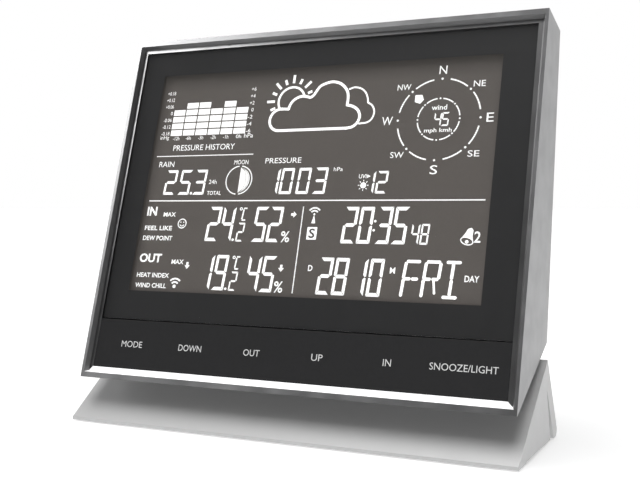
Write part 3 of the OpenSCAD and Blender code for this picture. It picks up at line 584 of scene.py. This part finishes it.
def compass(ink):
    """Wind rose of two broken rings with a pointer and the wind speed."""
    cx, cy = 50.45, 33.85
    for r, width, first, second, dot in ((16.25, 0.55, 11.5, 39, 0.45), (8.3, 0.5, 8, 39, 0.36)):
        for quarter in range(0, 360, 90):
            ink.arc(cx, cy, r, width, quarter + first, quarter + second)
            ink.arc(cx, cy, r, width, quarter + 90 - second, quarter + 90 - first)
        for x, y in around(cx, cy, r, r, range(0, 360, 45)):
            ink.disc(x, y, dot, 10)
    for words, x, y, wide, tall in (("N", 50.45, 53.7, 3.0, 3.4), ("S", 50.6, 13.9, 2.9, 3.5),
                                    ("W", 29.9, 33.85, 4.4, 3.4), ("E", 70.35, 33.8, 2.7, 3.5),
                                    ("NE", 65.2, 47.4, 4.6, 2.4), ("NW", 35.4, 47.4, 5.5, 2.4),
                                    ("SW", 35.4, 20.0, 5.4, 2.4), ("SE", 65.3, 19.9, 4.5, 2.4)):
        ink.label(words, x, y, wide, tall)
    ink.add([(40.25, 43.95), (43.05, 43.9), (43.85, 41.9), (42.5, 40.35), (40.3, 41.1)])
    ink.text("wind", 47.35, 53.4, 37.5, 39.6, bold=0.01)
    figures(ink, (("4", 48.6), ("5", 51.6)), 31.0, 5.5, 2.85, 0.62)
    ink.text("mph kmh", 45.25, 56.1, 28.1, 30.3, bold=0.01)


def middle_band(ink):
    """Rain, moon phase, pressure and UV index, with the lines that part the display."""
    base = 4.85
    tall, wide, stroke = 10.75, 5.45, 1.15
    ink.text("RAIN", -72, -64.5, 17.1, 19.5)
    figures(ink, (("2", -67.75), ("5", -60.55), ("3", -53.3)), base, tall, wide, stroke)
    ink.disc(-53.9, base + 0.6, 0.6, 12)
    ink.text("24h", -46, -42.3, 9.4, 11.2)
    ink.text("TOTAL", -46.1, -39.5, 4.65, 6.35, bold=0.01)
    ink.text("MOON", -35.3, -28.7, 17.6, 19.5)
    for start in (-84, 96):
        ink.arc(*MOON, 5.95, 0.45, start, start + 168)
    ink.add([(HALF_MOON, 16.2)] + around(*MOON, 4.94, 5.2, range(80, -81, -10)) + [(HALF_MOON, 5.6)])
    ink.text("PRESSURE", -20.9, -4.75, 17.75, 20)
    figures(ink, (("1", -19.2), ("0", -13.0), ("0", -5.55), ("3", 1.7)), base, tall, wide, stroke)
    ink.text("hPa", 9.9, 13.75, 14.0, 15.6)
    ink.text("UVI", 20.9, 24.0, 10.9, 12.6, bold=0.01)
    ink.add([(24.3, 11.0), (25.75, 11.75), (24.3, 12.5)])
    ink.disc(23.1, 8.15, 1.2, 16)
    eight = range(0, 360, 45)
    for near, far in zip(around(23.1, 8.15, 1.55, 1.55, eight), around(23.1, 8.15, 2.2, 2.2, eight)):
        ink.line([near, far], 0.35)
    figures(ink, (("1", 23.0), ("2", 28.15)), base, 8.9, 4.4, 0.95)
    ink.box(-74, -27, 21.7, 22.05)
    ink.box(-74, 71.4, 1.98, 2.43)
    ink.box(-1.2, -0.8, LOWER_ROW, -0.25)


def moon_lines(ink):
    """Two thin crescents across the bright half of the moon."""
    for bulge in (2.9, 4.1):
        ink.line(around(HALF_MOON, MOON.y, bulge, 5.0, range(-84, 85, 12)), 0.16)


def degrees_c(ink, base):
    """Small ring and squared C beside a temperature, from the row's lower line."""
    ink.arc(-28.75, base + 13.5, 0.5, 0.38, 0, 360)
    ink.line([(-26.0, base + 13.75), (-27.45, base + 13.75)], 0.6)
    ink.line([(-27.45, base + 13.3), (-27.85, base + 9.2)], 0.6)
    ink.line([(-27.9, base + 8.85), (-26.2, base + 8.85)], 0.6)


def down_arrow(ink, x, y):
    ink.add([(x - 0.5, y + 1.4), (x + 0.5, y + 1.4), (x + 0.5, y + 0.1), (x + 1.25, y + 0.1),
             (x, y - 1.45), (x - 1.25, y + 0.1), (x - 0.5, y + 0.1)])


def smiling_face(ink, x, y):
    ink.arc(x, y, 1.9, 0.42, 0, 360)
    ink.arc(x, y, 1.05, 0.35, 200, 340)
    for side in (-0.7, 0.7):
        ink.disc(x + side, y + 0.6, 0.28, 8)


def climate(ink):
    """Indoor and outdoor rows on the left."""
    ink.text("IN", -74, -69.15, -4.25, -0.35, bold=0.03)
    ink.text("MAX", -65.6, -59.6, -4.6, -2.75, bold=0.02)
    ink.text("FEEL LIKE", -73.9, -60.4, -10.5, -8.6, bold=0.02)
    smiling_face(ink, -55.8, -7.55)
    ink.text("DEW POINT", -74, -59.5, -14.85, -12.85, bold=0.02)
    ink.text("OUT", -73.9, -63.1, -24.25, -20.5, bold=0.03)
    ink.text("MAX", -57.9, -52.1, -24.65, -22.75, bold=0.02)
    ink.text("HEAT INDEX", -73.9, -58.1, -30.5, -28.6, bold=0.02)
    ink.text("WIND CHILL", -73.9, -58.75, -34.85, -32.9, bold=0.02)
    for r, start in ((3.3, 45), (1.9, 42)):
        ink.arc(-54.7, -34.0, r, 0.68, start, 180 - start)
    ink.disc(-54.8, -33.9, 0.75, 12)
    for row, digits in ((UPPER_ROW, "2452"), (LOWER_ROW, "1945")):
        figures(ink, zip(digits, (-43.9, -37.35, -22.35, -15.8)), row, TALL, 5.6, 1.35)
        figures(ink, (("2", -29.5),), row, 7.75, 3.15, 0.72)
        ink.disc(-30.7, row + 0.7, 0.55, 12)
        degrees_c(ink, row)
        ink.text("%", -9.25, -5.4, row, row + 4.5, bold=0.01)
    ink.add([(-6.0, -3.0), (-4.9, -3.0), (-4.9, -2.2), (-3.6, -3.5), (-4.9, -4.8), (-4.9, -4.0),
             (-6.0, -4.0)])
    down_arrow(ink, -50.15, -25.1)
    down_arrow(ink, -7.2, -25.1)


def bell(ink):
    """Alarm bell, tilted, with an open mouth and a clapper."""
    tilt = math.radians(-16)
    c, s = math.cos(tilt), math.sin(tilt)

    def tilted(points):
        return [(65.9 + x * c - y * s, -13.1 + x * s + y * c) for x, y in points]

    ink.add(tilted([(-2.15, 0.9), (-1.6, 2.3), (-1.15, 4.3), (0, 5.1), (1.0, 4.4), (1.35, 2.4),
                    (2.05, 0.9), (1.0, 1.1), (-1.0, 1.1)]))
    ink.line(tilted(around(0, 0, 2.35, 1.35, range(0, 360, 15))), 0.4, closed=True)
    clapper = tilted([(0.1, -0.3)])[0]
    ink.disc(*clapper, 0.68, 12)


def weekday(ink):
    """F, R and I in single strokes."""
    strokes = [
        [(44.6, -21.1), (49.0, -21.1)], [(43.9, -21.9), (43.4, -27.0)], [(44.1, -27.6), (45.6, -27.6)],
        [(46.9, -27.6), (48.5, -27.6)], [(43.4, -28.2), (43.0, -33.7)],
        [(52.3, -21.1), (56.6, -21.1)], [(57.2, -21.9), (56.8, -26.8)], [(52.0, -27.5), (53.3, -27.5)],
        [(54.7, -27.5), (56.2, -27.5)], [(51.6, -21.9), (51.2, -27.0)], [(51.1, -28.2), (50.8, -33.6)],
        [(59.8, -21.1), (64.3, -21.1)], [(61.9, -22.0), (61.6, -26.8)], [(61.6, -28.0), (61.3, -32.8)],
        [(59.1, -33.9), (63.6, -33.9)],
    ]
    for stroke in strokes:
        ink.line(stroke, 1.2, caps=True)
    ink.line([(55.0, -28.3), (55.65, -32.6)], 0.85, caps=True)


def clock(ink):
    """Radio mast, time, alarm, date and weekday on the right."""
    for r in (2.9, 1.75):
        ink.arc(4.05, -3.7, r, 0.6, 40, 140)
    ink.add([(4.05, -3.5), (4.9, -7.0), (3.2, -7.0)])
    ink.disc(4.05, -3.35, 0.42, 10)
    figures(ink, (("2", 16.4), ("0", 22.85), ("3", 30.45), ("5", 36.85)), UPPER_ROW, TALL, 5.5, 1.4)
    for x, y in ((29.8, -6.0), (29.55, -9.5)):
        ink.disc(x, y, 0.5, 12)
    figures(ink, (("4", 44.3), ("8", 48.0)), UPPER_ROW, 7.85, 3.15, 0.75)
    bell(ink)
    ink.text("2", 68.5, 70.9, -13.65, -9.5, bold=0.01)
    ink.text("D", 4.4, 6.25, -25.85, -23.5, bold=0.02)
    figures(ink, (("2", 8.65), ("8", 15.1), ("1", 22.7), ("0", 29.2)), LOWER_ROW, TALL, 5.5, 1.4)
    ink.text("M", 37.85, 39.9, -25.85, -23.5, bold=0.006)
    weekday(ink)
    ink.text("DAY", 66.4, 71.75, -28.1, -25.75, bold=0.02)


# ---- display, window and key legends ---------------------------------------

window_low, window_high = console.box("display_window")
panel_low, panel_high = console.box("touch_panel")
glass_low = console.box("lcd_front_glass")[0]
display_face = console.box("lcd_front_polarizer")[0].y

# Edges of the opening that the printed border leaves
view_left = window_low.x + 10.35
view_right = window_high.x - 12.35
view_low = window_low.z + 12.1
view_high = window_high.z - 10.8


def on_display(ink, name, in_front, thickness, material):
    """Ink a little in front of the display's face."""
    ink.piece(name, console, display_face - in_front, thickness, material, "console", "polariser")


def display_picture():
    """Lit segments, and dark ones where the picture has them on a lit patch."""
    picture = Ink()
    for part in (history, forecast, compass, middle_band, climate, clock):
        part(picture)
    on_display(picture, "lcd_segments", 0.06, 0.03, SEGMENT)
    signal_box = Ink()
    signal_box.box(1.9, 6.1, -13.5, -8.5)
    on_display(signal_box, "lcd_signal_box", 0.05, 0.02, SEGMENT)
    letter = Ink()
    letter.text("S", 2.75, 5.25, -12.9, -9.1, bold=0.02)
    on_display(letter, "lcd_signal_letter", 0.08, 0.02, DARK_SEGMENT)
    crescents = Ink()
    moon_lines(crescents)
    on_display(crescents, "lcd_moon_lines", 0.08, 0.02, DARK_SEGMENT)


def display_backdrop():
    """The unlit sheet; it reaches behind the printed border, but not past the glass."""
    behind = 2
    left, right, low, high = glass_low.x, view_right + behind, view_low - behind, view_high + behind
    sheet = Ink()
    sheet.box(left, right, low, high)
    # The second colour is the painted shade at the display's left and top edges
    material = backdrop_material("lcd_backdrop", (0.115, 0.104, 0.096), (0.057, 0.052, 0.048),
                                 right - left, high - low)
    on_display(sheet, "lcd_backdrop", 0.03, 0.02, material)


def window_pane():
    """Clear acrylic slab with eased front edges."""
    x, low, high = window_high.x, window_low.z, window_high.z
    front, rear, ease = window_low.y, window_high.y, 0.18
    bm = bmesh.new()

    def loop(inset, y):
        return [bm.verts.new(console.to_world(a, y, b))
                for a, b in ((inset - x, low + inset), (x - inset, low + inset),
                             (x - inset, high - inset), (inset - x, high - inset))]

    loops = [loop(ease, front), loop(ease * 0.3, front + ease * 0.3), loop(0, front + ease), loop(0, rear)]
    glossy, clear, printed = 0, 1, 2
    bm.faces.new(loops[0]).material_index = glossy
    for edge, (a, b) in zip((glossy, glossy, printed), zip(loops, loops[1:])):
        for i in range(4):
            j = (i + 1) % 4
            bm.faces.new([a[i], a[j], b[j], b[i]]).material_index = edge
    bm.faces.new(loops[3]).material_index = clear
    mesh = finished_mesh("window_pane", bm)
    pane = add_piece("window_pane", mesh, [PANE, CLEAR, PRINT], "console")
    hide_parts("display_window")


def window_border():
    """Black print round the display, set inside the pane where it looks right against the display."""
    level, edge = window_high.y - 1.1, 0.2
    left, right = window_low.x + edge, window_high.x - edge
    low, high = window_low.z + edge, window_high.z - edge
    border = Ink()
    border.box(left, view_left, low, high)
    border.box(view_right, right, low, high)
    border.box(view_left, view_right, low, view_low)
    border.box(view_left, view_right, view_high, high)
    border.piece("window_border", console, level, 0.02, PRINT, "console", "window_tint")


def key_legends():
    """Names of the six touch keys, evenly spaced; the last, longest one sits a little to the right."""
    pitch, tall = 27.6, 2.5
    z = (panel_low.z + panel_high.z) / 2 + 0.05
    legends = Ink()
    for i, (words, wide) in enumerate((("MODE", 10), ("DOWN", 10.5), ("OUT", 7), ("UP", 4.6), ("IN", 3.1),
                                       ("SNOOZE/LIGHT", 24.6))):
        legends.label(words, pitch * (i - 2.5) + (0.8 if i == 5 else 0.2), z, wide, tall)
    legends.piece("key_legends", console, panel_low.y - 0.03, 0.035, LEGEND, "console", "touch_black")


display_picture()
display_backdrop()
window_pane()
window_border()
key_legends()


# ---- shells with rounded edges ---------------------------------------------

def frame_face(p):
    """Material of the frame at p: 0 rim and walls, 1 slope and ledge by the window in painted shade, 2 those below
    it with a painted highlight.
    """
    rim, ledge_back, slope = 0.15, window_low.y + 0.5, 2.55
    if not (rim < p.y < ledge_back and abs(p.x) < window_high.x + slope
            and abs(p.z) < window_high.z + slope):
        return 0
    return 2 if p.z < panel_low.z + 0.1 and abs(p.x) < 60 else 1


frame_ring = rounded_copy("frame_ring", "outer_frame", 0.22, 2, SILVER, "console", shortest=2,
                          inner=([SHADED_SILVER, PAINTED_HIGHLIGHT], frame_face))
rounded_copy("touch_strip", "touch_panel", 0.16, 2, TOUCH, "console")
rounded_copy("stand_shell", "stand", 0.45, 3, STAND, "stand", shortest=4)
rounded_copy("back_shell", "rear_cover", 0.25, 2, COVER, "console", shortest=3)
rounded_copy("bay_door", "battery_door", 0.22, 2, COVER, "battery_door", shortest=2)


# ---- battery cells ---------------------------------------------------------

def cell_profile(radius, length):
    """Half outline of one cell from its flat end to its nub: distance from the axis, place along it."""
    return [(0, 0), (radius - 2.2, 0), (radius - 1.9, 0.25), (radius - 1.2, 0.1), (radius - 0.25, 0.35),
            (radius, 0.9), (radius, length * 0.7), (radius, length - 3.2), (radius - 0.5, length - 2.0),
            (radius - 1.4, length - 1.75), (2.9, length - 1.5), (2.6, length - 1.2),
            (2.55, length - 0.35), (2.2, length - 0.05), (0, length - 0.03)]


def turned_cell(bm, start, way, y, z, radius, length):
    """Skin of one cell about the line at y, z; it begins at start and runs the given way to its nub."""
    sides, can = 40, 2
    wrapped = {5: 0, 6: 1}    # the outline's steps that are jacket and band; the others are bare can
    loops = []
    for r, along in cell_profile(radius, length):
        across = around(y, z, r, r, [360 * k / sides for k in range(sides if r else 1)])
        loops.append([bm.verts.new(back.to_world(start + way * along, a, b)) for a, b in across])
    for step, (a, b) in enumerate(zip(loops, loops[1:])):
        for k in range(sides):
            j = (k + 1) % sides
            corners = [a[k % len(a)], a[j % len(a)], b[j % len(b)], b[k % len(b)]]
            bm.faces.new(list(dict.fromkeys(corners))).material_index = wrapped.get(step, can)


def battery_cells():
    """Four AA cells with shouldered cans, a metal nub and a coloured band at the nub end."""
    low, high = back.box("battery_cells")
    radius = (high.y - low.y) / 2
    middle = (low.y + high.y) / 2
    bm = bmesh.new()
    for row in (low.z + radius, high.z - radius):
        row_low, row_high = back.box("battery_cells", lambda p: abs(p.z - row) < radius)
        length = (row_high.x - row_low.x) / 2
        start, way = (row_low.x, 1) if abs(row_high.x - high.x) < 0.5 else (row_high.x, -1)
        for i in range(2):
            turned_cell(bm, start + way * i * length, way, middle, row, radius, length)
    mesh = finished_mesh("aa_cells", bm)
    shade_by_angle(mesh, 35)
    cells = add_piece("aa_cells", mesh, [JACKET, BAND, CAN], "console")
    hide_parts("battery_cells")


battery_cells()


# ---- materials of the CAD nodes that stay ----------------------------------

KEPT = {
    "window_tape": TAPE, "front_chassis": CHASSIS, "lcd_front_polarizer": POLARISER,
    "lcd_front_glass": GLASS, "lcd_rear_glass": GLASS, "lcd_rear_polarizer": POLARISER,
    "diffuser_film": FILM, "light_guide": GUIDE, "reflector_film": FILM, "backlight_board": LED_STRIP,
    "backlight_leds": LED, "lcd_tray": WHITE, "elastomer_strip": ZEBRA, "main_board": BOARD,
    "main_board_chips": RESIN, "main_board_capacitors": SLEEVE, "radio_module": BLUE_BOARD,
    "radio_antenna": AERIAL, "ferrite_rod": FERRITE, "ferrite_coil": COPPER, "pressure_sensor": TIN,
    "humidity_sensor": WHITE, "buzzer": RESIN, "touch_board": BOARD, "touch_springs": SPRING,
    "ribbon_cable": RIBBON, "reset_switch": TIN, "reset_button": RESIN, "contact_springs": SPRING,
    "contact_plates": TIN, "dc_socket": RESIN, "dc_socket_nut": SCREW, "cover_screws": SCREW,
    "tray_screws": SCREW, "board_screws": SCREW, "front_feet": RUBBER, "rear_feet": RUBBER,
}
for node_name, material in KEPT.items():
    paint_node(node_name, material)


# ---- camera, floor and light ------------------------------------------------

scene = bpy.context.scene
scene.view_settings.view_transform = "Standard"
scene.view_settings.look = "None"


def photo_camera():
    """The place, direction and focal length found by fitting the photo's edges."""
    lens = bpy.data.cameras.new("camera")
    lens.sensor_width = 36
    lens.lens = 56.13
    camera = bpy.data.objects.new("camera", lens)
    camera.location = (0.17323, -0.35003, 0.08645)
    look = Vector((-0.4343, 0.9002, -0.0331))
    right = look.cross(Vector((0, 0, 1))).normalized()
    above = right.cross(look).normalized()
    camera.rotation_euler = Matrix((right, above, -look.normalized())).transposed().to_euler()
    scene.collection.objects.link(camera)
    scene.camera = camera


def pale_floor():
    reach = 30
    mesh = bpy.data.meshes.new("floor")
    mesh.from_pydata([(-reach, -reach, 0), (reach, -reach, 0), (reach, reach, 0), (-reach, reach, 0)], [],
                     [(0, 1, 2, 3)])
    mesh.materials.append(finish_material("floor_paper", (0.86, 0.86, 0.86), 0.8, spread=0.01, grain=400,
                                          bump=0.0, glow=0.45))
    floor = bpy.data.objects.new("floor", mesh)
    scene.collection.objects.link(floor)


def soft_sun(name, direction, strength, spread, only=None):
    """A distant soft light; with only, it is a highlight that no other piece shows."""
    data = bpy.data.lights.new(name, "SUN")
    data.energy = strength
    data.angle = math.radians(spread)
    obj = bpy.data.objects.new(name, data)
    obj.rotation_euler = Vector(direction).to_track_quat("Z", "Y").to_euler()
    scene.collection.objects.link(obj)
    if only:
        obj.visible_diffuse = False
        obj.light_linking.receiver_collection = only


def studio_world():
    """White round the horizon and, behind the object, a little higher; dim above that, less so overhead."""
    world = bpy.data.worlds.new("studio")
    scene.world = world
    world.use_nodes = True
    nodes, links = world.node_tree.nodes, world.node_tree.links
    nodes.clear()
    sky = nodes.new("ShaderNodeBackground")
    links.new(sky.outputs["Background"], nodes.new("ShaderNodeOutputWorld").inputs["Surface"])
    towards = split_axes(nodes, links, nodes.new("ShaderNodeTexCoord").outputs["Generated"])
    horizon = remap(nodes, links, towards["Z"], 1.0, 0.0, 0.04, 0.12)
    low_down = remap(nodes, links, towards["Z"], 1.0, 0.0, 0.2, 0.4)
    behind = remap(nodes, links, towards["Y"], 0.0, 1.0, -0.1, 0.35)
    overhead = remap(nodes, links, towards["Z"], 0.0, 1.0, 0.38, 0.7)
    white = combine(nodes, links, "MAXIMUM", combine(nodes, links, "MULTIPLY", low_down, behind), horizon)
    dim = mix_colour(nodes, links, overhead, (0.04, 0.04, 0.04), (0.22, 0.22, 0.22))
    links.new(mix_colour(nodes, links, white, dim, (1.0, 1.0, 1.0)), sky.inputs["Color"])
    sky.inputs["Strength"].default_value = 1.0


photo_camera()
pale_floor()
shining = bpy.data.collections.new("shining")
shining.objects.link(frame_ring)
soft_sun("top_light", (-0.05, -0.15, 0.98), 1.9, 46)
soft_sun("side_light", (-0.92, -0.1, 0.38), 0.7, 36)
soft_sun("rim_highlight", (-0.72, -0.385, 0.577), 2.0, 26, shining)
studio_world()
